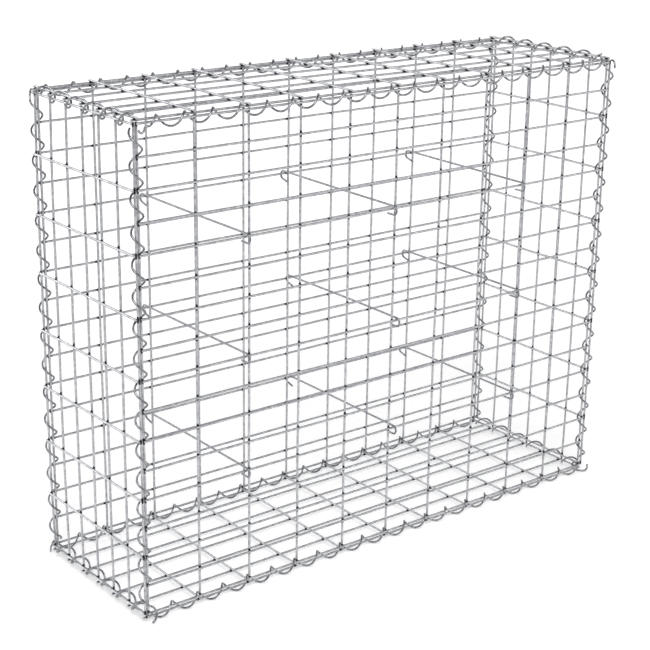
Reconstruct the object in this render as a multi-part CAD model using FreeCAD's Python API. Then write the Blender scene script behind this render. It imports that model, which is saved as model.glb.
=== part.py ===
import FreeCAD, Part
import math
import os

from FreeCAD import Vector

# A gabion basket: six panels of welded wire mesh, laced together along all twelve
# edges by left-handed spiral wires, with nine tie rods from the front to the back.
#
# The basket is laid out from the crossing of the lowest wire and the leftmost wire
# of the front panel: x runs to the right, y runs to the back and z runs up. At the
# end it is moved so that the origin is the middle of its underside. Lengths are in
# millimetres and angles in degrees.

# Front panel, between the centres of its outermost wires, and depth of the basket
# between the upright wires of the front panel and those of the back panel.
LENGTH = 1000.0
DEPTH = 300.0
HEIGHT = 800.0

# Welded mesh: the two sides of an opening from wire to wire, and the wire.
MESH_LONG = 100.0
MESH_SHORT = 50.0
WIRE = 4.0

# Clearance between a panel and the next one round an edge.
PANEL_GAP = 0.3

# Spiral wires: the wire, the least play round the two edge wires that a spiral
# holds, the clearance at which it lies against one of them, and the clearance
# between the ends of spirals that meet in a corner.
SPIRAL_WIRE = 3.5
SPIRAL_PLAY = 0.2
SPIRAL_SEAT = 0.3
SPIRAL_END_GAP = 0.3

# How far the four long spirals run past the outermost upright wires.
SPIRAL_OVERRUN = 4.0

# Tie rods: the rod, the spacing of their columns and rows about the middle of the
# basket, the distance from a rod to the upright wire beside it, the clearance at
# which a rod lies on the level wire, how far past that wire's middle its hooks start,
# and their bend and end.
ROD = 3.5
ROD_COLUMN_SPACING = 300.0
ROD_ROW_SPACING = 200.0
ROD_BESIDE = 7.0
ROD_SEAT = 0.3
HOOK_START = 1.0
HOOK_RADIUS = 7.5
HOOK_TAIL = 18.0

# Mesh wires and rods have six sides, as wide across the flats as the wire is thick.
# Spirals have four sides of the round wire's girth, and six straight steps a turn.
WIRE_SIDES = 6
SPIRAL_SIDES = 4
SPIRAL_STEPS = 6
HOOK_STEPS = 4

AXES = "xyz"

WIRE_CORNER = WIRE / 2 / math.cos(math.pi / WIRE_SIDES)
SPIRAL_SIDE = SPIRAL_WIRE * math.pi / SPIRAL_SIDES
SPIRAL_CORNER = SPIRAL_SIDE / 2 / math.cos(math.pi / SPIRAL_SIDES)

# Distance from the last wire of the front panel to the nearest layer of the panel
# round the edge.
NEXT = WIRE_CORNER + PANEL_GAP + WIRE / 2

LEFT_UPRIGHTS = -NEXT
LEFT_LEVELS = -NEXT - WIRE
RIGHT_LEVELS = LENGTH + NEXT
RIGHT_UPRIGHTS = LENGTH + NEXT + WIRE
FRONT_LEVELS = -WIRE
BACK_LEVELS = DEPTH + WIRE
BASE_CROSS = -NEXT
BASE_LONG = -NEXT - WIRE
LID_LONG = HEIGHT + NEXT
LID_CROSS = HEIGHT + NEXT + WIRE

# The cross wires of the base and the lid lie midway between the two end panels.
CROSS_SHIFT = (LEFT_LEVELS + RIGHT_LEVELS - LENGTH) / 2


def spaced(total, count):
    """Places from 0 to total, count equal steps apart."""
    return [total * step / count for step in range(count + 1)]


SHORT_IN_LONG = max(1, round(MESH_LONG / MESH_SHORT))
LONG_ALONG = max(1, round(LENGTH / MESH_LONG))
LONG_UP = max(1, round(HEIGHT / MESH_LONG))
SHORT_BACK = max(1, round(DEPTH / MESH_SHORT))

X_LONG = spaced(LENGTH, LONG_ALONG)
X_CROSS = [x + CROSS_SHIFT for x in X_LONG]
Y_SHORT = spaced(DEPTH, SHORT_BACK)
Z_LONG = spaced(HEIGHT, LONG_UP)
Z_SHORT = spaced(HEIGHT, LONG_UP * SHORT_IN_LONG)

# A spiral makes one turn for each short opening.
PITCH = {
    "x": LENGTH / LONG_ALONG / SHORT_IN_LONG,
    "y": DEPTH / SHORT_BACK,
    "z": HEIGHT / LONG_UP / SHORT_IN_LONG,
}


def point(axis, s, u, v):
    """The point at s on the axis and at u and v on the next two axes in turn."""
    values = {axis: s}
    values[AXES[(AXES.index(axis) + 1) % 3]] = u
    values[AXES[(AXES.index(axis) + 2) % 3]] = v
    return Vector(values["x"], values["y"], values["z"])


def mesh_wire(axis, u, v, start, end, facing):
    """A straight wire along the axis at (u, v), one flat facing the given angle."""
    corners = []
    for side in range(WIRE_SIDES + 1):
        angle = math.radians(facing + (side + 0.5) * 360 / WIRE_SIDES)
        corners.append(point(axis, start, u + WIRE_CORNER * math.cos(angle),
                             v + WIRE_CORNER * math.sin(angle)))
    return Part.Face(Part.makePolygon(corners)).extrude(point(axis, end - start, 0, 0))


def layer(axis, across, places, level, ends):
    """Parallel wires along one axis, spread across another, level on the third.

    Their flats face the third axis, so that the two layers of a panel lie face to
    face at every weld. They end flush with the outermost wires of the other layer.
    """
    start = ends[0] - WIRE_CORNER
    end = ends[-1] + WIRE_CORNER
    across_is_next = AXES[(AXES.index(axis) + 1) % 3] == across
    wires = []
    for place in places:
        if across_is_next:
            wires.append(mesh_wire(axis, place, level, start, end, 90))
        else:
            wires.append(mesh_wire(axis, level, place, start, end, 0))
    return wires


def bar(points, width, sides, facing):
    """A bar of regular section along straight runs, with mitred bends."""
    direction = (points[1] - points[0]).normalize()
    sideways = direction.cross(facing).normalize()
    upward = sideways.cross(direction)
    corner = width / 2 / math.cos(math.pi / sides)
    profile = []
    for side in range(sides + 1):
        angle = (side + 0.5) * 2 * math.pi / sides
        profile.append(points[0] + upward * corner * math.cos(angle)
                       + sideways * corner * math.sin(angle))
    pipe = Part.BRepOffsetAPI.MakePipeShell(Part.makePolygon(points))
    pipe.setTransitionMode(1)
    pipe.add(Part.makePolygon(profile))
    pipe.build()
    pipe.makeSolid()
    return pipe.shape()


# The two edge wires that each spiral holds, as (u, v) on the two axes that follow
# the spiral's own axis, and the angle from u towards v at which the spiral passes
# the wires that run across the edge. A spiral lies against its second wire.
SPIRALS = {
    "spiral_top_front": ("x", (FRONT_LEVELS, HEIGHT), (0.0, LID_LONG), 350.0),
    "spiral_top_back": ("x", (BACK_LEVELS, HEIGHT), (DEPTH, LID_LONG), 185.0),
    "spiral_top_left": ("y", (HEIGHT, LEFT_LEVELS), (LID_CROSS, X_CROSS[0]), 315.0),
    "spiral_top_right": ("y", (HEIGHT, RIGHT_LEVELS), (LID_CROSS, X_CROSS[-1]), 22.0),
    "spiral_bottom_front": ("x", (FRONT_LEVELS, 0.0), (0.0, BASE_LONG), 29.0),
    "spiral_bottom_back": ("x", (BACK_LEVELS, 0.0), (DEPTH, BASE_LONG), 32.0),
    "spiral_bottom_left": ("y", (0.0, LEFT_LEVELS), (BASE_CROSS, X_CROSS[0]), 248.0),
    "spiral_bottom_right": ("y", (0.0, RIGHT_LEVELS), (BASE_CROSS, X_CROSS[-1]), 135.0),
    "spiral_corner_front_left": ("z", (0.0, 0.0), (LEFT_UPRIGHTS, 0.0), 49.0),
    "spiral_corner_front_right": ("z", (LENGTH, 0.0), (RIGHT_UPRIGHTS, 0.0), 137.0),
    "spiral_corner_back_left": ("z", (0.0, DEPTH), (LEFT_UPRIGHTS, DEPTH), 72.0),
    "spiral_corner_back_right": ("z", (LENGTH, DEPTH), (RIGHT_UPRIGHTS, DEPTH), 27.0),
}

# The bends of a spiral lie on the line through its two edge wires, where they leave
# the most room. The pair that lies furthest apart sets the radius of every spiral.
STEP_SINE = math.cos(math.pi / SPIRAL_STEPS)
WIDEST_PAIR = max(math.dist(row[1], row[2]) for row in SPIRALS.values())
SPIRAL_RADIUS = WIDEST_PAIR / 2 + (WIRE_CORNER + SPIRAL_CORNER + SPIRAL_PLAY) / STEP_SINE
SPIRAL_REACH = SPIRAL_RADIUS + SPIRAL_CORNER

# The long spirals run from end to end, and the others stop short of them.
RUN = {
    "x": (-SPIRAL_OVERRUN, LENGTH + SPIRAL_OVERRUN),
    "y": (SPIRAL_REACH + SPIRAL_END_GAP, DEPTH - SPIRAL_REACH - SPIRAL_END_GAP),
    "z": (SPIRAL_REACH + SPIRAL_END_GAP, HEIGHT - SPIRAL_REACH - SPIRAL_END_GAP),
}


def spiral(axis, first, second, pass_angle):
    """A left-handed spiral round two edge wires, in straight steps."""
    span = math.dist(first, second)
    lean = math.degrees(math.atan2(second[1] - first[1], second[0] - first[0]))
    snug = (WIRE_CORNER + SPIRAL_CORNER + SPIRAL_SEAT) / STEP_SINE
    shift = max(0.0, SPIRAL_RADIUS - span / 2 - snug) / span
    u = (first[0] + second[0]) / 2 - shift * (second[0] - first[0])
    v = (first[1] + second[1]) / 2 - shift * (second[1] - first[1])
    step = PITCH[axis] / SPIRAL_STEPS
    origin = (pass_angle - lean) / 360 * PITCH[axis]
    low, high = RUN[axis]
    points = []
    for bend in range(math.ceil((low - origin) / step), math.floor((high - origin) / step) + 1):
        angle = math.radians(lean - bend * 360 / SPIRAL_STEPS)
        points.append(point(axis, origin + bend * step, u + SPIRAL_RADIUS * math.cos(angle),
                            v + SPIRAL_RADIUS * math.sin(angle)))
    return bar(points, SPIRAL_SIDE, SPIRAL_SIDES, point(axis, 1, 0, 0))


def nearest(places, target):
    """The place that lies nearest to the target."""
    return min(places, key=lambda place: abs(place - target))


def tie_rod(column, row, side):
    """A rod on the level wires of one row, hooked down round them at both ends."""
    x = nearest(X_LONG, LENGTH / 2 + column * ROD_COLUMN_SPACING) + side * ROD_BESIDE
    z = nearest(Z_SHORT, HEIGHT / 2 + row * ROD_ROW_SPACING) + WIRE_CORNER + ROD_SEAT + ROD / 2
    front = []
    back = []
    for bend in range(HOOK_STEPS + 1):
        angle = math.pi * bend / HOOK_STEPS
        out = HOOK_START + HOOK_RADIUS * math.sin(angle)
        down = HOOK_RADIUS * (1 - math.cos(angle))
        front.append(Vector(x, FRONT_LEVELS - out, z - down))
        back.append(Vector(x, BACK_LEVELS + out, z - down))
    front.append(front[-1] + Vector(0, HOOK_TAIL, 0))
    back.append(back[-1] - Vector(0, HOOK_TAIL, 0))
    return bar(front[::-1] + back, ROD, WIRE_SIDES, Vector(0, 0, 1))


pieces = {
    "front_panel": Part.makeCompound(
        layer("z", "x", X_LONG, 0.0, Z_LONG)
        + layer("x", "z", Z_SHORT, FRONT_LEVELS, X_LONG)),
    "back_panel": Part.makeCompound(
        layer("z", "x", X_LONG, DEPTH, Z_LONG)
        + layer("x", "z", Z_SHORT, BACK_LEVELS, X_LONG)),
    "left_end_panel": Part.makeCompound(
        layer("z", "y", Y_SHORT, LEFT_UPRIGHTS, Z_LONG)
        + layer("y", "z", Z_LONG, LEFT_LEVELS, Y_SHORT)),
    "right_end_panel": Part.makeCompound(
        layer("z", "y", Y_SHORT, RIGHT_UPRIGHTS, Z_LONG)
        + layer("y", "z", Z_LONG, RIGHT_LEVELS, Y_SHORT)),
    "base_panel": Part.makeCompound(
        layer("y", "x", X_CROSS, BASE_CROSS, Y_SHORT)
        + layer("x", "y", Y_SHORT, BASE_LONG, X_CROSS)),
    "lid_panel": Part.makeCompound(
        layer("y", "x", X_CROSS, LID_CROSS, Y_SHORT)
        + layer("x", "y", Y_SHORT, LID_LONG, X_CROSS)),
}

for name, row in SPIRALS.items():
    pieces[name] = spiral(*row)

# Column and row from the middle of the basket, and the side of the upright wire.
pieces["tie_rod_top_left"] = tie_rod(-1, 1, -1)
pieces["tie_rod_top_middle"] = tie_rod(0, 1, -1)
pieces["tie_rod_top_right"] = tie_rod(1, 1, -1)
pieces["tie_rod_middle_left"] = tie_rod(-1, 0, -1)
pieces["tie_rod_middle_middle"] = tie_rod(0, 0, 1)
pieces["tie_rod_middle_right"] = tie_rod(1, 0, -1)
pieces["tie_rod_bottom_left"] = tie_rod(-1, -1, -1)
pieces["tie_rod_bottom_middle"] = tie_rod(0, -1, 1)
pieces["tie_rod_bottom_right"] = tie_rod(1, -1, -1)

box = FreeCAD.BoundBox()
for shape in pieces.values():
    box.add(shape.BoundBox)
underside = Vector(box.Center.x, box.Center.y, box.ZMin)

os.makedirs("parts", exist_ok=True)
for name, shape in pieces.items():
    shape.translate(-underside)
    shape.exportStep("parts/" + name + ".step")
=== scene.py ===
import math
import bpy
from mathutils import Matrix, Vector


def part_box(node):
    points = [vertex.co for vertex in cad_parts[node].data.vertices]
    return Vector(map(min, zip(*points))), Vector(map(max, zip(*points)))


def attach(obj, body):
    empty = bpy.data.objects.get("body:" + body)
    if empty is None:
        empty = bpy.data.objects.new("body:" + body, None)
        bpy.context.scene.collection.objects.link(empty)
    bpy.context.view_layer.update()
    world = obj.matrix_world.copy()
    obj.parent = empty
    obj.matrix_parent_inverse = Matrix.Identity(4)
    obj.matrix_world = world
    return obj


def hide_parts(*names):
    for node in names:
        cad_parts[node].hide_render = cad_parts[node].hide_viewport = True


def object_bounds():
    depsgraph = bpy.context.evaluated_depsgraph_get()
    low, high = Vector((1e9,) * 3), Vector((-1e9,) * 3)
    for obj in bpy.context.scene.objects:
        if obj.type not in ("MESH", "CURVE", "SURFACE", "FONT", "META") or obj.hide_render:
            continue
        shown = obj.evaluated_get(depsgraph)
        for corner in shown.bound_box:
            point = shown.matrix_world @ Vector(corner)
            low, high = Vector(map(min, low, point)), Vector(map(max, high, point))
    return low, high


bl_info = {
    "name": "Gabion basket",
    "version": (1, 0, 0),
    "blender": (4, 5, 0),
    "location": "3D View > Sidebar > Gabion",
    "description": "Makes the welded mesh, spiral lacing and tie rods of a gabion basket",
    "category": "Add Mesh",
}

import bpy
import numpy as np
from mathutils import Matrix, Vector

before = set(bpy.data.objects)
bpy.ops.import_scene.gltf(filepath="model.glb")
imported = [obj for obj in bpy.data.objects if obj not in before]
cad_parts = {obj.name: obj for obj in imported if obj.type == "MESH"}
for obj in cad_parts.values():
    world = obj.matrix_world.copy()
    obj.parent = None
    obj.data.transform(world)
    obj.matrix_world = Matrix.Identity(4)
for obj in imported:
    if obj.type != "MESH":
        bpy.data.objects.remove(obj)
cad_low, cad_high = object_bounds()

# The wires of the solids have six sides, so their corners stand out past the round
# wire of the same thickness by this factor.
SIX_SIDED = 2 / math.sqrt(3)

# The chamfer at the cut end of a mesh wire, and the least room between the wire's end
# and the next ring, in metres.
CUT_CHAMFER = 0.00035
CUT_ROOM = 0.0006

# Where a mesh wire has its rings near each weld, in millimetres from the weld's middle.
WELD_RINGS = (-12.0, -6.5, -4.4, -3.0, -1.9, -0.9, 0.0, 0.9, 1.9, 3.0, 4.4, 6.5, 12.0)

# The share of its radius that a spiral or a tie rod keeps at its cut ends.
BLUNT_END = 0.8

# Sides of a mesh wire or a tie rod, of a spiral, and of the metal at a weld.
WIRE_SIDES = 12
SPIRAL_SIDES = 10
WELD_SIDES = 8

# Rings for each turn of a spiral.
TURN_RINGS = 30

# Half the height in metres of the metal squeezed out at a weld, how far up and down its profile
# goes as an angle, and the dark mark on it, part scorch and part painted shade of the crevice
# between the wires.
WELD_RISE = 0.0012
WELD_SLOPE = 1.35
WELD_SCORCH_AND_SHADE = 0.9

# Where the seeds of the panels' welds and of the spirals' winding start.
PANEL_SEED = 60
SPIRAL_SEED = 20


def linear(hex_colour):
    """An sRGB hex colour as linear red, green and blue with full alpha."""
    values = [int(hex_colour[i : i + 2], 16) / 255 for i in (1, 3, 5)]
    return [v / 12.92 if v <= 0.04045 else ((v + 0.055) / 1.055) ** 2.4 for v in values] + [1.0]


# ------------------------------------------------------------------ settings


class GabionMeshSettings(bpy.types.PropertyGroup):
    """Sizes and colours of the mesh panels"""

    wire: bpy.props.FloatProperty(
        name="Wire", description="Thickness of a mesh wire", default=0.004, unit="LENGTH"
    )
    weld_sink: bpy.props.FloatProperty(
        name="Weld sink",
        description="How far each wire is pressed into the other at a weld",
        default=0.0002,
        unit="LENGTH",
    )
    weld_width: bpy.props.FloatProperty(
        name="Weld width",
        description="Width of the metal squeezed out between two wires",
        default=0.0054,
        unit="LENGTH",
    )
    # How far the dark weld mark runs along a wire: zinc burnt by the weld, and painted shade of
    # the crevice where the wires meet.
    scorch_and_shade_reach: bpy.props.FloatProperty(
        name="Scorch reach",
        description="How far along a wire its zinc is burnt from the middle of a weld",
        default=0.0051,
        unit="LENGTH",
    )
    bow: bpy.props.FloatProperty(
        name="Bow",
        description="How far the wires wander from straight in the middle of a panel",
        default=0.0009,
        unit="LENGTH",
    )
    light_zinc: bpy.props.FloatVectorProperty(
        name="Light zinc", description="Bright patches of the zinc", default=linear("#C6C7CA"),
        size=4, subtype="COLOR",
    )
    dark_zinc: bpy.props.FloatVectorProperty(
        name="Dark zinc", description="Dull patches of the zinc", default=linear("#9C9DA1"),
        size=4, subtype="COLOR",
    )
    # The colour of the dark weld mark: burnt metal, and painted shade of the crevice where the
    # wires meet.
    scorch_and_shade: bpy.props.FloatVectorProperty(
        name="Scorch", description="Burnt metal at a weld", default=linear("#2B2B2E"),
        size=4, subtype="COLOR",
    )


class GabionSpiralSettings(bpy.types.PropertyGroup):
    """Sizes and colours of the spiral lacing"""

    wire: bpy.props.FloatProperty(
        name="Wire", description="Thickness of the spiral wire", default=0.0035, unit="LENGTH"
    )
    waver: bpy.props.FloatProperty(
        name="Waver", description="Unevenness of the winding, as a share of the radius",
        default=0.015, min=0.0, max=0.05, subtype="FACTOR",
    )
    zinc: bpy.props.FloatVectorProperty(
        name="Zinc", description="Bright patches of the zinc", default=linear("#A3A4A7"),
        size=4, subtype="COLOR",
    )
    dull: bpy.props.FloatVectorProperty(
        name="Dull zinc", description="Dull patches of the zinc", default=linear("#626367"),
        size=4, subtype="COLOR",
    )


class GabionRodSettings(bpy.types.PropertyGroup):
    """Sizes and colours of the tie rods"""

    wire: bpy.props.FloatProperty(
        name="Rod", description="Thickness of a tie rod", default=0.0035, unit="LENGTH"
    )
    hook_radius: bpy.props.FloatProperty(
        name="Hook radius", description="Radius of a hook's centre line", default=0.0075,
        unit="LENGTH",
    )
    tail: bpy.props.FloatProperty(
        name="Tail", description="Straight end of a hook", default=0.016, unit="LENGTH"
    )
    front_opening: bpy.props.FloatProperty(
        name="Front opening", description="How far a front hook's tail opens from level",
        default=math.radians(1), subtype="ANGLE",
    )
    back_opening: bpy.props.FloatProperty(
        name="Back opening", description="How far a back hook's tail opens from level",
        default=math.radians(14), subtype="ANGLE",
    )
    zinc: bpy.props.FloatVectorProperty(
        name="Zinc", description="Bright patches of the zinc", default=linear("#9B9CA1"),
        size=4, subtype="COLOR",
    )
    dull: bpy.props.FloatVectorProperty(
        name="Dull zinc", description="Dull patches of the zinc", default=linear("#6F7076"),
        size=4, subtype="COLOR",
    )


class GabionStageSettings(bpy.types.PropertyGroup):
    """Camera and floor"""

    lens: bpy.props.FloatProperty(
        name="Lens", description="Focal length on a 36 mm sensor", default=85.85,
        unit="CAMERA",
    )
    azimuth: bpy.props.FloatProperty(
        name="Azimuth", description="Direction of view, from the depth towards the right",
        default=math.radians(38.18), subtype="ANGLE",
    )
    elevation: bpy.props.FloatProperty(
        name="Elevation", description="How steeply the camera looks down",
        default=math.radians(18.87), subtype="ANGLE",
    )
    roll: bpy.props.FloatProperty(
        name="Roll", description="Tilt of the camera about its own axis",
        default=math.radians(0.89), subtype="ANGLE",
    )
    camera: bpy.props.FloatVectorProperty(
        name="Camera", description="Place of the camera from the basket's front left foot",
        default=(-1.153, -1.917, 1.254), size=3, subtype="TRANSLATION",
    )
    floor: bpy.props.FloatVectorProperty(
        name="Floor", description="Colour of the floor", default=linear("#F7F7F7"),
        size=4, subtype="COLOR",
    )


# ------------------------------------------------------------------ layout


def foot():
    """The crossing of the lowest and leftmost wires of the front panel, which the
    places below are measured from."""
    low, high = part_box("front_panel")
    half = (high[1] - low[1]) / 4  # half a wire, as the panel is two wires thick
    return np.array([low[0] + half * SIX_SIDED, high[1] - half, low[2] + half * SIX_SIDED])


# For each panel: the axis it faces, and for its two layers the axis the wires run
# along, the axis they are spread on, how many there are, the side they lie on, and how
# many millimetres their cut ends stand past the outermost wire at the start and end.
PANELS = {
    "front_panel": (1, ((2, 0, 11, 1, 0, 0), (0, 2, 17, -1, 0, 0))),
    "back_panel": (1, ((2, 0, 11, -1, 0, 0), (0, 2, 17, 1, 0, 0))),
    "left_end_panel": (0, ((2, 1, 7, 1, 0, 0), (1, 2, 9, -1, 0, 0))),
    "right_end_panel": (0, ((2, 1, 7, 1, 0, 0), (1, 2, 9, -1, 0, 0))),
    "base_panel": (2, ((1, 0, 11, 1, 5, 5), (0, 1, 7, -1, 5.2, 2.7))),
    "lid_panel": (2, ((1, 0, 11, 1, 5, 5), (0, 1, 7, -1, 5.2, 5))),
}

# How far a panel bows to the right at its front and at its back edge, in millimetres.
BULGES = {"left_end_panel": (0.0, -3.0), "right_end_panel": (1.3, 1.3)}

# For each spiral, in millimetres from the foot: its axis, the middle of its turns on
# the next two axes in turn at its start and at its end, where it passes the first of
# these two axes, where it starts and ends, its pitch, its radius, and the points that
# its loose ends run through. Wound and laced by hand, no two are alike.
SPIRALS = {
    "spiral_top_front": (
        0, (-2.2, 799.5), (-2.2, 799.5), 45.0, (17.0, 999.7), 50.0, 9.75,
        (
            (10, -9.5, 795.3), (8.3, -8.8, 790), (4.8, -8.6, 786.3), (1.2, -8.6, 787.2),
            (-0.8, -8.6, 790.8),
        ),
        (
            (1004.5, 8.5, 791.5), (1010, 8.5, 793.5), (1013.5, 5.5, 799), (1013.9, 0, 802.5),
            (1013.2, -6, 800), (1012.2, -9, 794.5), (1011.8, -9.3, 789),
        ),
    ),
    "spiral_top_back": (
        0, (302.2, 799.5), (302.2, 799.5), 28.5, (1.0, 1000.0), 50.0, 9.75, (), ()
    ),
    "spiral_top_left": (
        1, (801.9, -2.2), (801.9, -2.2), 13.4, (10.0, 288.0), 51.85, 10.5, (), ()
    ),
    "spiral_top_right": (
        1, (804.3, 1001.3), (804.3, 1001.3), 10.6, (12.0, 288.0), 50.0, 9.5, (), ()
    ),
    "spiral_bottom_front": (
        0, (-2.0, -3.9), (-2.0, -3.9), 55.5, (3.0, 990.5), 50.0, 9.5, (),
        (
            (992.2, 1.5, 5.1), (993, 6, 1.8), (993.4, 7.9, -4), (995, 5.8, -10.8),
            (999.5, 0, -13.3), (1004, -6.5, -13.3), (1009.5, -12, -12), (1013.5, -13.8, -7),
            (1013.8, -13, 0.5),
        ),
    ),
    "spiral_bottom_back": (
        0, (302.0, -3.9), (302.0, -3.9), 54.5, (-8.0, 996.0), 50.0, 9.5,
        ((-11.5, 299, 4.5), (-14.5, 297.5, 1), (-15.9, 297.5, -4), (-15.9, 298, -9.5)), (),
    ),
    "spiral_bottom_left": (
        1, (0.8, -3.2), (0.8, -3.2), 14.4, (8.0, 290.0), 50.0, 10.0, (), ()
    ),
    "spiral_bottom_right": (
        1, (-2.3, 1001.3), (-2.3, 1001.3), 18.75, (10.0, 290.0), 50.0, 9.5, (), ()
    ),
    "spiral_corner_front_left": (
        2, (-4.8, -0.4), (-2.0, -0.4), 6.8, (16.0, 792.0), 50.0, 9.5,
        ((5, -9, 11), (8.8, -10, 4), (9, -11.5, -3), (6, -12.8, -9), (-0.5, -13.9, -13.2)), (),
    ),
    "spiral_corner_front_right": (
        2, (1004.5, 0.0), (1004.5, 0.0), 17.8, (8.0, 788.0), 50.0, 9.5, (), ()
    ),
    "spiral_corner_back_left": (
        2, (-3.5, 300.0), (-3.5, 300.0), 9.3, (8.0, 784.0), 50.0, 9.5, (),
        (
            (-12.8, 301.8, 788.5), (-12, 303.6, 793.5), (-10.9, 304.9, 798.5),
            (-9.4, 305.4, 802.8), (-7.2, 305, 806),
        ),
    ),
    "spiral_corner_back_right": (
        2, (1004.5, 300.0), (1004.5, 300.0), 4.0, (4.0, 788.0), 50.0, 9.5,
        ((1013, 305, 0), (1009, 308.5, -5), (1004.5, 308, -10), (1000.5, 305.5, -13.2)), (),
    ),
}

ROD_NAMES = [
    "tie_rod_" + row + "_" + column
    for row in ("top", "middle", "bottom")
    for column in ("left", "middle", "right")
]

# For each lamp: its place and its width in metres, and its power in watts.
SOFTBOXES = {
    "softbox_above": ((-0.9, -1.3, 2.5), 1.5, 38.0),
    "softbox_right": ((2.2, -2.2, 2.0), 2.0, 18.0),
    "softbox_behind": ((-2.2, 3.2, 1.6), 3.2, 50.0),
}

# Half the width of the floor, and how far it lies below the solids, in metres.
FLOOR_HALF = 40.0
FLOOR_DROP = 0.0005


# ------------------------------------------------------------------ shapes


def tubes(paths, radii, toward, sides):
    """Round tubes along many paths at once.

    paths is (tubes, rings, 3), radii (rings,) and toward an array that broadcasts to
    the paths and is nowhere parallel to them. With T the unit step along the path,
    A = T x toward and B = A x T, both made unit long, the surface is
    path + radius (B cos v + A sin v) for v from 0 to a full turn. Gives the points as
    (tubes, rings, sides, 3), the outward directions, and the length along each path.
    """
    step = np.gradient(paths, axis=1)
    step /= np.linalg.norm(step, axis=2, keepdims=True)
    across = np.cross(step, np.broadcast_to(toward, paths.shape))
    across /= np.linalg.norm(across, axis=2, keepdims=True)
    up = np.cross(across, step)
    turn = np.linspace(0, 2 * np.pi, sides, endpoint=False)
    out = (
        up[:, :, None, :] * np.cos(turn)[None, None, :, None]
        + across[:, :, None, :] * np.sin(turn)[None, None, :, None]
    )
    points = paths[:, :, None, :] + out * np.asarray(radii)[None, :, None, None]
    runs = np.linalg.norm(np.diff(paths, axis=1), axis=2)
    length = np.concatenate([np.zeros((len(paths), 1)), np.cumsum(runs, axis=1)], axis=1)
    return points, out, length


def clear_direction(path):
    """Of many directions spread over half a sphere, the one that stays furthest from
    every step of the path. Direction i has the height z = (i + 1/2) / tries and is
    turned by i times the golden angle."""
    tries = 200
    step = np.gradient(path, axis=0)
    step /= np.linalg.norm(step, axis=1, keepdims=True)
    number = np.arange(tries)
    z = (number + 0.5) / tries
    turn = number * np.pi * (3 - math.sqrt(5))
    flat = np.sqrt(1 - z**2)
    choices = np.stack([flat * np.cos(turn), flat * np.sin(turn), z], -1)
    return choices[np.abs(step @ choices.T).max(axis=0).argmin()]


def tube_faces(count, rings, sides, first=0):
    """Four-sided faces between neighbouring rings and a flat face on both ends.

    Point (tube, ring, side) has the number ((tube rings) + ring) sides + side.
    """
    tube, ring, side = np.meshgrid(
        np.arange(count), np.arange(rings - 1), np.arange(sides), indexing="ij"
    )
    after = (side + 1) % sides
    base = first + (tube * rings + ring) * sides
    quads = np.stack([base + side, base + after, base + sides + after, base + sides + side], -1)
    ends = np.arange(sides)
    starts = first + np.arange(count)[:, None] * rings * sides
    caps = np.concatenate(
        [starts + ends[None, ::-1], starts + (rings - 1) * sides + ends[None, :]]
    )
    return quads.reshape(-1, 4), caps, (tube, ring, side)


def tube_uv(length, index, sides):
    """UV of each quad's corners: metres along the wire, and the share of its girth."""
    tube, ring, side = index
    low = length[tube, ring]
    high = length[tube, ring + 1]
    u = np.stack([low, low, high, high], -1)
    v = np.stack([side, side + 1, side + 1, side], -1) / sides
    return np.stack([u, v], -1).reshape(-1, 2)


class Shape:
    """Gathers arrays of points, faces, UVs and a weld mark per point, part scorch and part
    painted shade, into one mesh.
    """

    def __init__(self):
        self.points = []
        self.marks = []
        self.faces = []
        self.uvs = []
        self.smooth = []
        self.count = 0

    def add_tubes(self, paths, radii, toward, marks=None, sides=WIRE_SIDES):
        """Tubes with flat ends. marks gives the weld marks from the outward directions."""
        points, out, length = tubes(paths, radii, toward, sides)
        quads, caps, index = tube_faces(paths.shape[0], paths.shape[1], sides, self.count)
        self.points.append(points.reshape(-1, 3))
        weld = np.zeros(points.shape[:3]) if marks is None else marks(out)
        self.marks.append(weld.ravel())
        self.faces += [quads, caps]
        self.uvs += [tube_uv(length, index, sides), np.zeros((caps.size, 2))]
        self.smooth += [np.ones(len(quads), bool), np.zeros(len(caps), bool)]
        self.count += points.size // 3

    def add_buttons(self, points, quads, caps, mark):
        """Smooth closed forms with the same weld mark all over."""
        self.points.append(points)
        self.marks.append(np.full(len(points), mark))
        self.faces += [quads + self.count, caps + self.count]
        self.uvs.append(np.zeros((quads.size + caps.size, 2)))
        self.smooth.append(np.ones(len(quads) + len(caps), bool))
        self.count += len(points)

    def build(self, name, material):
        """The object of all that was gathered, in the scene's collection."""
        points = np.concatenate(self.points).astype(np.float32)
        sizes = np.concatenate([np.full(len(f), f.shape[1]) for f in self.faces])
        corners = np.concatenate([f.ravel() for f in self.faces]).astype(np.int32)
        mesh = bpy.data.meshes.new(name)
        mesh.vertices.add(len(points))
        mesh.vertices.foreach_set("co", points.ravel())
        mesh.loops.add(len(corners))
        mesh.loops.foreach_set("vertex_index", corners)
        mesh.polygons.add(len(sizes))
        starts = np.concatenate([[0], np.cumsum(sizes)[:-1]]).astype(np.int32)
        mesh.polygons.foreach_set("loop_start", starts)
        mesh.update(calc_edges=True)
        mesh.polygons.foreach_set("use_smooth", np.concatenate(self.smooth))
        layer = mesh.uv_layers.new(name="along")
        layer.data.foreach_set("uv", np.concatenate(self.uvs).astype(np.float32).ravel())
        # The weld mark: scorch, and painted shade in the crevice between welded wires.
        weld = mesh.attributes.new("weld", "FLOAT", "POINT")
        weld.data.foreach_set("value", np.concatenate(self.marks).astype(np.float32))
        mesh.validate()
        mesh.materials.append(material)
        piece = bpy.data.objects.new(name, mesh)
        bpy.context.scene.collection.objects.link(piece)
        return piece


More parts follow.
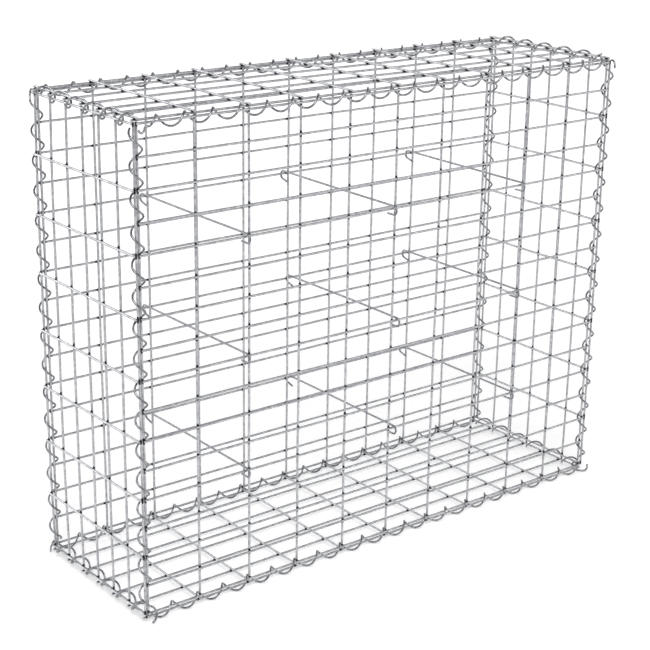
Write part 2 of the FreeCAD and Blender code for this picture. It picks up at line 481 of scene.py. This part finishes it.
def wandering(places, node, amount):
    """A gentle unevenness of a panel: in each direction three sine waves, 0.18 to
    0.55 m long, with seeded headings and phases, that fade to nothing at its edges. A
    panel with a bulge b at a place on its depth also moves to the right there, at a
    share h of its height by b (1 - (2 h - 1)^6)^2."""
    dice = np.random.default_rng(list(PANELS).index(node))
    low, high = (np.array(corner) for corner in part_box(node))
    share = np.clip((places - low) / (high - low), 0, 1)
    share[..., PANELS[node][0]] = 0.5
    fade = np.prod(np.sqrt(np.sin(np.pi * share)), axis=-1)
    moved = np.zeros_like(places)
    for axis in range(3):
        for wave in range(3):
            direction = dice.normal(size=3)
            direction /= np.linalg.norm(direction)
            number = 2 * np.pi / dice.uniform(0.18, 0.55)
            phase = dice.uniform(0, 2 * np.pi)
            moved[..., axis] += np.sin(places @ direction * number + phase) / 3
    moved *= fade[..., None] * amount
    bulge = np.interp(share[..., 1], (0, 1), BULGES.get(node, (0.0, 0.0))) / 1000
    moved[..., 0] += bulge * (1 - (2 * share[..., 2] - 1) ** 6) ** 2
    return places + moved


def ring_places(crossings, start, end):
    """Places of the rings along a wire: close together at each crossing wire, with a
    pair at each end for the cut edge."""
    near = np.array(WELD_RINGS) / 1000
    middle = (crossings[1:] + crossings[:-1]) / 2
    places = np.concatenate([(crossings[:, None] + near).ravel(), middle])
    clear = (places > start + CUT_ROOM) & (places < end - CUT_ROOM)
    inside = np.unique(np.round(places[clear], 6))
    ends = np.array([start, start + CUT_CHAMFER])
    return np.concatenate([ends, inside, start + end - ends[::-1]])


def cut_radii(places, radius):
    """The wire's radius, less a fine chamfer on the two end rings."""
    radii = np.full(len(places), radius)
    radii[[0, -1]] = radius - CUT_CHAMFER
    return radii


def panel_paths(node, settings):
    """The centre lines of a panel's wires, and where they are: for each of its two
    layers the paths (wires, rings, 3), the places of the rings along them, the places
    of the crossing wires, and the direction from the layer to the other."""
    facing, layers = PANELS[node]
    low, high = (np.array(corner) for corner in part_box(node))
    radius = settings.wire / 2
    corner = radius * SIX_SIDED
    middle = (low[facing] + high[facing]) / 2
    spread = {
        layer[1]: np.linspace(low[layer[1]] + corner, high[layer[1]] - corner, layer[2])
        for layer in layers
    }
    wires = []
    for along, across, count, side, before, after in layers:
        crossings = spread[along]
        places = ring_places(
            crossings,
            low[along] + corner - radius - before / 1000,
            high[along] - corner + radius + after / 1000,
        )
        paths = np.zeros((count, len(places), 3))
        paths[:, :, along] = places[None, :]
        paths[:, :, across] = spread[across][:, None]
        paths[:, :, facing] = middle + side * (radius - settings.weld_sink)
        toward = np.zeros(3)
        toward[facing] = -side
        wires.append((wandering(paths, node, settings.bow), places, crossings, toward))
    return wires, spread, middle


def panel_shape(node, settings, seed):
    """A welded panel: two layers of straight round wires and a weld at each crossing.
    A wire is darkened on the side it is welded on, part weld scorch and part painted shade of
    the crevice between the wires, for exp(-(distance / reach)^8) of full strength, with another
    reach and strength at each weld."""
    dice = np.random.default_rng(seed)
    wires, spread, middle = panel_paths(node, settings)
    shape = Shape()
    for paths, places, crossings, toward in wires:
        away = np.abs(places[:, None] - crossings[None, :])
        nearest, distance = away.argmin(axis=1), away.min(axis=1)
        reach = settings.scorch_and_shade_reach * dice.uniform(0.8, 1.15, (len(paths), len(crossings)))
        strength = dice.uniform(0.75, 1.0, (len(paths), len(crossings)))
        burnt_and_shaded = strength[:, nearest] * np.exp(-((distance / reach[:, nearest]) ** 8))

        def marks(out, toward=toward, burnt_and_shaded=burnt_and_shaded):
            """Full where a wire faces the one it is welded to, where the weld scorch and the
            painted shade of the crevice lie, and none on its far side.
            """
            inward = 0.5 + 0.5 * out @ toward
            return burnt_and_shaded[:, :, None] * np.clip(inward * 1.3, 0, 1)

        shape.add_tubes(paths, cut_radii(places, settings.wire / 2), toward, marks)
    add_welds(shape, node, spread, middle, settings, dice)
    return shape


def add_welds(shape, node, spread, middle, settings, dice):
    """The metal squeezed out round each weld: a button of half width a and half
    height h, whose points are (a cos t cos v, a cos t sin v, h sin t), with t from
    below to above and v all round, and a and h a little different at each weld."""
    facing = PANELS[node][0]
    first, second = sorted(spread)
    grid = np.meshgrid(spread[first], spread[second], indexing="ij")
    grid = np.stack(grid, -1).reshape(-1, 2)
    centres = np.zeros((len(grid), 3))
    centres[:, first] = grid[:, 0]
    centres[:, second] = grid[:, 1]
    centres[:, facing] = middle
    centres = wandering(centres, node, settings.bow)
    sides, rows = WELD_SIDES, 5
    t = np.linspace(-WELD_SLOPE, WELD_SLOPE, rows)
    v = np.linspace(0, 2 * np.pi, sides, endpoint=False)
    flat = np.cos(t)[:, None] * np.stack([np.cos(v), np.sin(v)], 0)[:, None, :]
    size = settings.weld_width / 2 * dice.uniform(0.88, 1.12, (len(grid), 1, 1))
    points = np.zeros((len(grid), rows, sides, 3))
    points[..., first] = centres[:, first, None, None] + flat[0] * size
    points[..., second] = centres[:, second, None, None] + flat[1] * size
    rise = WELD_RISE * dice.uniform(0.85, 1.15, (len(grid), 1, 1))
    points[..., facing] = centres[:, facing, None, None] + np.sin(t)[None, :, None] * rise
    quads, caps = tube_faces(len(grid), rows, sides)[:2]
    if np.linalg.det(np.eye(3)[[first, second, facing]]) < 0:
        quads, caps = quads[:, ::-1], caps[:, ::-1]
    # Each button is dark all over: burnt metal, and painted shade of the crevice where the
    # wires meet.
    shape.add_buttons(points.reshape(-1, 3), quads, caps, WELD_SCORCH_AND_SHADE)


def loose_end(start, onward, points):
    """A loose end that runs on from a spiral through the given points. Between two
    points b and c, with a before and d behind them, it goes in six steps of t along
    (2b + (c - a) t + (2a - 5b + 4c - d) t^2 + (3b - a - 3c + d) t^3) / 2."""
    through = np.vstack([start, np.array(points) / 1000 + foot()])
    lead = through[0] - onward * np.linalg.norm(through[1] - through[0])
    knots = np.vstack([lead, through, 2 * through[-1] - through[-2]])
    a, b, c, d = (knots[k : len(knots) - 3 + k, None, :] for k in range(4))
    t = (np.arange(1, 7) / 6)[None, :, None]
    curve = 2 * b + (c - a) * t + (2 * a - 5 * b + 4 * c - d) * t**2
    curve = (curve + (3 * b - a - 3 * c + d) * t**3) / 2
    return curve.reshape(-1, 3)


def spiral_path(node, settings, seed):
    """A left-handed spiral. At s along the edge its angle is
    -2 pi (s - passing) / pitch, and its point is middle + radius (cos, sin) of that
    angle. Its middle goes evenly from the first turn's to the last turn's. As in wire
    wound by hand, the radius wavers by a small share over 210 to 330 mm, and the angle
    by four times that share."""
    axis, first, last, passing, ends, pitch, radius, before, after = SPIRALS[node]
    dice = np.random.default_rng(seed)
    count = int((ends[1] - ends[0]) / pitch * TURN_RINGS)
    s = np.linspace(ends[0], ends[1], count)
    waver = np.sin(2 * np.pi * s / dice.uniform(210, 330) + dice.uniform(0, 6))
    angle = -2 * np.pi * (s - passing) / pitch + 4 * settings.waver * waver
    share = (s - s[0]) / (s[-1] - s[0])
    path = np.zeros((count, 3))
    path[:, axis] = s
    for turn, offset in ((np.cos(angle), 0), (np.sin(angle), 1)):
        middle = first[offset] + (last[offset] - first[offset]) * share
        path[:, (axis + 1 + offset) % 3] = middle + radius * (1 + settings.waver * waver) * turn
    path = path / 1000 + foot()
    onward = path[[0, -1]] - path[[1, -2]]
    onward /= np.linalg.norm(onward, axis=1, keepdims=True)
    if before:
        path = np.vstack([loose_end(path[0], onward[0], before)[::-1], path])
    if after:
        path = np.vstack([path, loose_end(path[-1], onward[1], after)])
    return path[None]


def round_wire(path, radius, toward, sides):
    """One round wire with blunt ends."""
    radii = np.full(path.shape[1], radius)
    radii[[0, -1]] *= BLUNT_END
    shape = Shape()
    shape.add_tubes(path, radii, toward, sides=sides)
    return shape


def spiral_shape(node, settings, seed):
    """The round wire of one spiral."""
    path = spiral_path(node, settings, seed)
    return round_wire(path, settings.wire / 2, clear_direction(path[0]), SPIRAL_SIDES)


def hook_line(out, settings, opening):
    """One hook, as distances outward and upward from the middle of the rod's top run:
    a bend (out + r sin a, r cos a - r) down round the wire, with a from 0 to half a
    turn less the opening, and a straight tail that points back inward and opens
    downward by that angle."""
    r = settings.hook_radius
    bend = np.linspace(0, np.pi - opening, 17)
    tail = np.linspace(0, settings.tail, 6)[1:]
    along = out + r * np.sin(bend)
    height = r * np.cos(bend) - r
    along = np.concatenate([along, along[-1] - tail * np.cos(opening)])
    return along, np.concatenate([height, height[-1] - tail * np.sin(opening)])


def rod_path(node, settings, bow):
    """A tie rod: a straight run on the level wires and a hook at each end. Each end
    goes with the panel that it hooks on."""
    low, high = (np.array(corner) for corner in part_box(node))
    x = (low[0] + high[0]) / 2
    top = high[2] - settings.wire / 2
    out = (high[1] - low[1]) / 2 - settings.wire / 2 - settings.hook_radius
    centre = (low[1] + high[1]) / 2
    front_y, front_z = hook_line(out, settings, settings.front_opening)
    back_y, back_z = hook_line(out, settings, settings.back_opening)
    run = out - 0.0015  # stops just short of the first ring of each bend
    straight = np.linspace(-run, run, 25)
    y = np.concatenate([-front_y[::-1], straight, back_y])
    z = np.concatenate([front_z[::-1], np.zeros(len(straight)), back_z])
    path = np.stack([np.full(len(y), x), centre + y, top + z], -1)
    share = np.clip((path[:, 1:2] - low[1]) / (high[1] - low[1]), 0, 1)
    front = wandering(path, "front_panel", bow)
    back = wandering(path, "back_panel", bow)
    return (front * (1 - share) + back * share)[None]


def rod_shape(node, settings, bow):
    """The round wire of one tie rod."""
    path = rod_path(node, settings, bow)
    return round_wire(path, settings.wire / 2, np.array([1.0, 0.0, 0.0]), WIRE_SIDES)


# ------------------------------------------------------------------ materials


def add_node(tree, kind, settings=None, links=None):
    """Adds a node. A setting is a property of the node or the value of an input, and
    a link brings another node's output to an input."""
    made = tree.nodes.new(kind)
    for key, value in (settings or {}).items():
        if isinstance(key, str) and hasattr(made, key):
            setattr(made, key, value)
        else:
            made.inputs[key].default_value = value
    for key, socket in (links or {}).items():
        tree.links.new(socket, made.inputs[key])
    return made


def empty_tree(name):
    """A new material and its node tree, with nothing in it."""
    material = bpy.data.materials.new(name)
    material.use_nodes = True
    material.node_tree.nodes.clear()
    return material, material.node_tree


def galvanised_wire(name, light, dark, scorch_and_shade, smooth, rough):
    """Drawn mild steel wire with a hot-dip zinc coat.

    Zinc gives the eye a soft grey metal with cloudy patches a few millimetres wide, a faint
    grain along the wire from the drawing die, and a blurred sheen, between smooth and rough.
    Where a weld burnt the zinc off, it is nearly black and dry; the same dark colour also
    paints the shade in the crevice between welded wires, so the mark is part scorch and part
    painted shade.
    """
    material, tree = empty_tree(name)
    place = add_node(tree, "ShaderNodeTexCoord")
    # Clouds of the zinc, about 7 mm wide.
    clouds = add_node(
        tree, "ShaderNodeTexNoise",
        {"Scale": 140.0, "Detail": 3.0, "Roughness": 0.55},
        {"Vector": place.outputs["Object"]},
    )
    spread = add_node(
        tree, "ShaderNodeMapRange",
        {"From Min": 0.32, "From Max": 0.68, "To Min": 0.0, "To Max": 1.0},
        {"Value": clouds.outputs["Fac"]},
    )
    zinc = add_node(
        tree, "ShaderNodeMix", {"data_type": "RGBA", 6: dark, 7: light},
        {0: spread.outputs["Result"]},
    )
    # Die lines: 0.4 mm across the wire and 12 mm along it.
    stretched = add_node(
        tree, "ShaderNodeMapping", {"Scale": (80.0, 30.0, 1.0)},
        {"Vector": place.outputs["UV"]},
    )
    lines = add_node(
        tree, "ShaderNodeTexNoise", {"Scale": 1.0, "Detail": 2.0},
        {"Vector": stretched.outputs["Vector"]},
    )
    # The weld mark darkens the zinc: scorch, and painted shade in the crevice between welded
    # wires.
    weld = add_node(tree, "ShaderNodeAttribute", {"attribute_name": "weld"})
    burnt_and_shaded = add_node(
        tree, "ShaderNodeMapRange",
        {"From Min": 0.25, "From Max": 0.75, "To Min": 0.0, "To Max": 1.0},
        {"Value": weld.outputs["Fac"]},
    )
    colour = add_node(
        tree, "ShaderNodeMix", {"data_type": "RGBA", 7: scorch_and_shade},
        {0: burnt_and_shaded.outputs["Result"], 6: zinc.outputs[2]},
    )
    sheen = add_node(
        tree, "ShaderNodeMapRange",
        {"From Min": 0.3, "From Max": 0.7, "To Min": smooth, "To Max": rough},
        {"Value": lines.outputs["Fac"]},
    )
    dry = add_node(
        tree, "ShaderNodeMix", {"data_type": "FLOAT", 3: 0.75},
        {0: burnt_and_shaded.outputs["Result"], 2: sheen.outputs["Result"]},
    )
    bump = add_node(
        tree, "ShaderNodeBump", {"Strength": 0.25, "Distance": 0.0002},
        {"Height": lines.outputs["Fac"]},
    )
    metal = add_node(
        tree, "ShaderNodeBsdfPrincipled", {"Metallic": 1.0},
        {
            "Base Color": colour.outputs[2],
            "Roughness": dry.outputs[0],
            "Normal": bump.outputs["Normal"],
        },
    )
    add_node(tree, "ShaderNodeOutputMaterial", {}, {"Surface": metal.outputs["BSDF"]})
    return material


def matt_floor(name, colour):
    """Matt white studio floor, lit in a pool round the basket: it gives an even ground
    that keeps the shadow. The eye sees it lifted to white, further out by more, where
    the lamps no longer reach. Metal sees it lifted on the side of the lamps and falling
    off towards the unlit back of the studio, so that round wire has a darker edge."""
    material, tree = empty_tree(name)
    paint = add_node(tree, "ShaderNodeBsdfDiffuse", {"Color": colour})
    seen = add_node(tree, "ShaderNodeLightPath")
    place = add_node(tree, "ShaderNodeTexCoord")
    away = add_node(
        tree, "ShaderNodeVectorMath", {"operation": "LENGTH"}, {0: place.outputs["Object"]}
    )
    reach = add_node(
        tree, "ShaderNodeMapRange",
        {"From Min": 0.8, "From Max": 3.5, "To Min": 0.33, "To Max": 0.7},
        {"Value": away.outputs["Value"]},
    )
    eye = add_node(
        tree, "ShaderNodeMath", {"operation": "MULTIPLY"},
        {0: reach.outputs["Result"], 1: seen.outputs["Is Camera Ray"]},
    )
    shown = add_node(
        tree, "ShaderNodeMath", {"operation": "MAXIMUM"},
        {0: seen.outputs["Is Glossy Ray"], 1: seen.outputs["Is Transmission Ray"]},
    )
    # How far a place lies from the lamps towards the back of the studio.
    backward = add_node(
        tree, "ShaderNodeVectorMath", {"operation": "DOT_PRODUCT", 1: (-0.34, 0.94, 0.0)},
        {0: place.outputs["Object"]},
    )
    unlit = add_node(
        tree, "ShaderNodeMapRange",
        {"From Min": 0.9, "From Max": 2.2, "To Min": 0.38, "To Max": 0.0},
        {"Value": backward.outputs["Value"]},
    )
    metal = add_node(
        tree, "ShaderNodeMath", {"operation": "MULTIPLY"},
        {0: shown.outputs[0], 1: unlit.outputs["Result"]},
    )
    lift = add_node(
        tree, "ShaderNodeMath", {"operation": "MAXIMUM"},
        {0: eye.outputs[0], 1: metal.outputs[0]},
    )
    glow = add_node(tree, "ShaderNodeEmission", {}, {"Strength": lift.outputs[0]})
    both = add_node(
        tree, "ShaderNodeAddShader", {}, {0: paint.outputs["BSDF"], 1: glow.outputs["Emission"]}
    )
    add_node(tree, "ShaderNodeOutputMaterial", {}, {"Surface": both.outputs["Shader"]})
    return material


# ------------------------------------------------------------------ operators


def finish_piece(piece, node):
    """Puts a piece in the place of its node."""
    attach(piece, "root")
    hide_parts(node)


class GABION_OT_panels(bpy.types.Operator):
    """Makes the six welded mesh panels"""

    bl_idname = "gabion.panels"
    bl_label = "Mesh panels"

    def execute(self, context):
        settings = context.scene.gabion_mesh
        zinc = galvanised_wire(
            "hot_dip_galvanised_mesh_wire", settings.light_zinc, settings.dark_zinc,
            settings.scorch_and_shade, smooth=0.30, rough=0.46,
        )
        for seed, node in enumerate(PANELS, PANEL_SEED):
            piece = panel_shape(node, settings, seed).build("welded_" + node, zinc)
            finish_piece(piece, node)
        return {"FINISHED"}


class GABION_OT_spirals(bpy.types.Operator):
    """Makes the spiral wires that lace the panels together"""

    bl_idname = "gabion.spirals"
    bl_label = "Spiral lacing"

    def execute(self, context):
        settings = context.scene.gabion_spiral
        zinc = galvanised_wire(
            "hot_dip_galvanised_spiral_wire", settings.zinc, settings.dull,
            context.scene.gabion_mesh.scorch_and_shade, smooth=0.14, rough=0.28,
        )
        for seed, node in enumerate(SPIRALS, SPIRAL_SEED):
            piece = spiral_shape(node, settings, seed).build("wound_" + node, zinc)
            finish_piece(piece, node)
        return {"FINISHED"}


class GABION_OT_tie_rods(bpy.types.Operator):
    """Makes the tie rods with their hooked ends"""

    bl_idname = "gabion.tie_rods"
    bl_label = "Tie rods"

    def execute(self, context):
        settings = context.scene.gabion_rod
        zinc = galvanised_wire(
            "galvanised_tie_rod_wire", settings.zinc, settings.dull,
            context.scene.gabion_mesh.scorch_and_shade, smooth=0.26, rough=0.40,
        )
        for node in ROD_NAMES:
            shape = rod_shape(node, settings, context.scene.gabion_mesh.bow)
            piece = shape.build("hooked_" + node, zinc)
            finish_piece(piece, node)
        return {"FINISHED"}


class GABION_OT_stage(bpy.types.Operator):
    """Makes the floor, the soft studio light and the camera"""

    bl_idname = "gabion.stage"
    bl_label = "Stage"

    def execute(self, context):
        scene = context.scene
        settings = scene.gabion_stage
        scene.view_settings.view_transform = "Standard"
        mesh = bpy.data.meshes.new("studio_floor")
        half, level = FLOOR_HALF, float(cad_low[2]) - FLOOR_DROP
        mesh.from_pydata(
            [
                (-half, -half, level), (half, -half, level), (half, half, level),
                (-half, half, level),
            ],
            [], [(0, 1, 2, 3)],
        )
        mesh.materials.append(matt_floor("matt_white_floor", settings.floor))
        floor = bpy.data.objects.new("studio_floor", mesh)
        scene.collection.objects.link(floor)
        self.light_world(scene)
        for name, (place, size, power) in SOFTBOXES.items():
            self.add_softbox(name, place, size, power)
        self.add_camera(scene, settings)
        return {"FINISHED"}

    def light_world(self, scene):
        """White studio surround. The eye sees it white all round, and metal sees it
        white near the horizon and dimmer overhead, where a studio has its ceiling, so
        that round wire has a darker upper side. It lights the rest at a plain level."""
        world = bpy.data.worlds.new("studio_surround")
        scene.world = world
        world.use_nodes = True
        tree = world.node_tree
        tree.nodes.clear()
        seen = add_node(tree, "ShaderNodeLightPath")
        where = add_node(tree, "ShaderNodeTexCoord")
        # How far up a direction points, leant a little towards the front.
        overhead = add_node(
            tree, "ShaderNodeVectorMath", {"operation": "DOT_PRODUCT", 1: (0.1, -0.25, 0.96)},
            {0: where.outputs["Generated"]},
        )
        height = add_node(
            tree, "ShaderNodeMapRange",
            {"From Min": 0.2, "From Max": 0.8, "To Min": 1.0, "To Max": 0.3},
            {"Value": overhead.outputs["Value"]},
        )
        glossy = add_node(
            tree, "ShaderNodeMix", {"data_type": "FLOAT", 2: 0.42},
            {0: seen.outputs["Is Glossy Ray"], 3: height.outputs["Result"]},
        )
        through = add_node(
            tree, "ShaderNodeMath", {"operation": "MAXIMUM"},
            {0: seen.outputs["Is Camera Ray"], 1: seen.outputs["Is Transmission Ray"]},
        )
        strength = add_node(
            tree, "ShaderNodeMix", {"data_type": "FLOAT", 3: 1.0},
            {0: through.outputs[0], 2: glossy.outputs[0]},
        )
        light = add_node(
            tree, "ShaderNodeBackground", {"Color": (1.0, 1.0, 1.0, 1.0)},
            {"Strength": strength.outputs[0]},
        )
        add_node(tree, "ShaderNodeOutputWorld", {}, {"Surface": light.outputs["Background"]})

    def add_softbox(self, name, place, size, power):
        """A large square lamp that faces the middle of the basket."""
        lamp = bpy.data.lights.new(name, "AREA")
        lamp.shape = "SQUARE"
        lamp.size = size
        lamp.energy = power
        box = bpy.data.objects.new(name, lamp)
        box.visible_camera = False
        bpy.context.scene.collection.objects.link(box)
        box.location = place
        aim = (Vector(cad_low) + Vector(cad_high)) / 2 - Vector(place)
        box.rotation_euler = aim.to_track_quat("-Z", "Y").to_euler()

    def add_camera(self, scene, settings):
        """Looks along the photograph's direction from the photograph's place."""
        data = bpy.data.cameras.new("camera")
        data.sensor_width = 36.0
        data.lens = settings.lens
        camera = bpy.data.objects.new("camera", data)
        scene.collection.objects.link(camera)
        a, e, r = settings.azimuth, settings.elevation, settings.roll
        view = Vector((math.sin(a) * math.cos(e), math.cos(a) * math.cos(e), -math.sin(e)))
        level = view.cross(Vector((0, 0, 1))).normalized()
        upward = level.cross(view)
        right = level * math.cos(r) + upward * math.sin(r)
        above = right.cross(view)
        turned = Matrix((right, above, -view)).transposed().to_4x4()
        turned.translation = Vector(foot()) + Vector(settings.camera)
        camera.matrix_world = turned
        scene.camera = camera


class GABION_PT_sidebar(bpy.types.Panel):
    """Lists what the basket is made of"""

    bl_idname = "GABION_PT_sidebar"
    bl_label = "Gabion basket"
    bl_space_type = "VIEW_3D"
    bl_region_type = "UI"
    bl_category = "Gabion"

    def draw(self, context):
        scene = context.scene
        for operator, group in (
            (GABION_OT_panels, scene.gabion_mesh),
            (GABION_OT_spirals, scene.gabion_spiral),
            (GABION_OT_tie_rods, scene.gabion_rod),
            (GABION_OT_stage, scene.gabion_stage),
        ):
            box = self.layout.box()
            box.operator(operator.bl_idname)
            for name in group.bl_rna.properties.keys():
                if name not in {"rna_type", "name"}:
                    box.prop(group, name)


CLASSES = (
    GabionMeshSettings,
    GabionSpiralSettings,
    GabionRodSettings,
    GabionStageSettings,
    GABION_OT_panels,
    GABION_OT_spirals,
    GABION_OT_tie_rods,
    GABION_OT_stage,
    GABION_PT_sidebar,
)

GROUPS = {
    "gabion_mesh": GabionMeshSettings,
    "gabion_spiral": GabionSpiralSettings,
    "gabion_rod": GabionRodSettings,
    "gabion_stage": GabionStageSettings,
}


def register():
    """Adds the classes, and the settings to the scene."""
    for item in CLASSES:
        bpy.utils.register_class(item)
    for name, group in GROUPS.items():
        setattr(bpy.types.Scene, name, bpy.props.PointerProperty(type=group))


def unregister():
    """Takes the settings and the classes away again."""
    for name in GROUPS:
        delattr(bpy.types.Scene, name)
    for item in reversed(CLASSES):
        bpy.utils.unregister_class(item)


def main():
    """Makes every piece and the stage."""
    register()
    bpy.ops.gabion.panels()
    bpy.ops.gabion.spirals()
    bpy.ops.gabion.tie_rods()
    bpy.ops.gabion.stage()


if __name__ == "__main__":
    main()
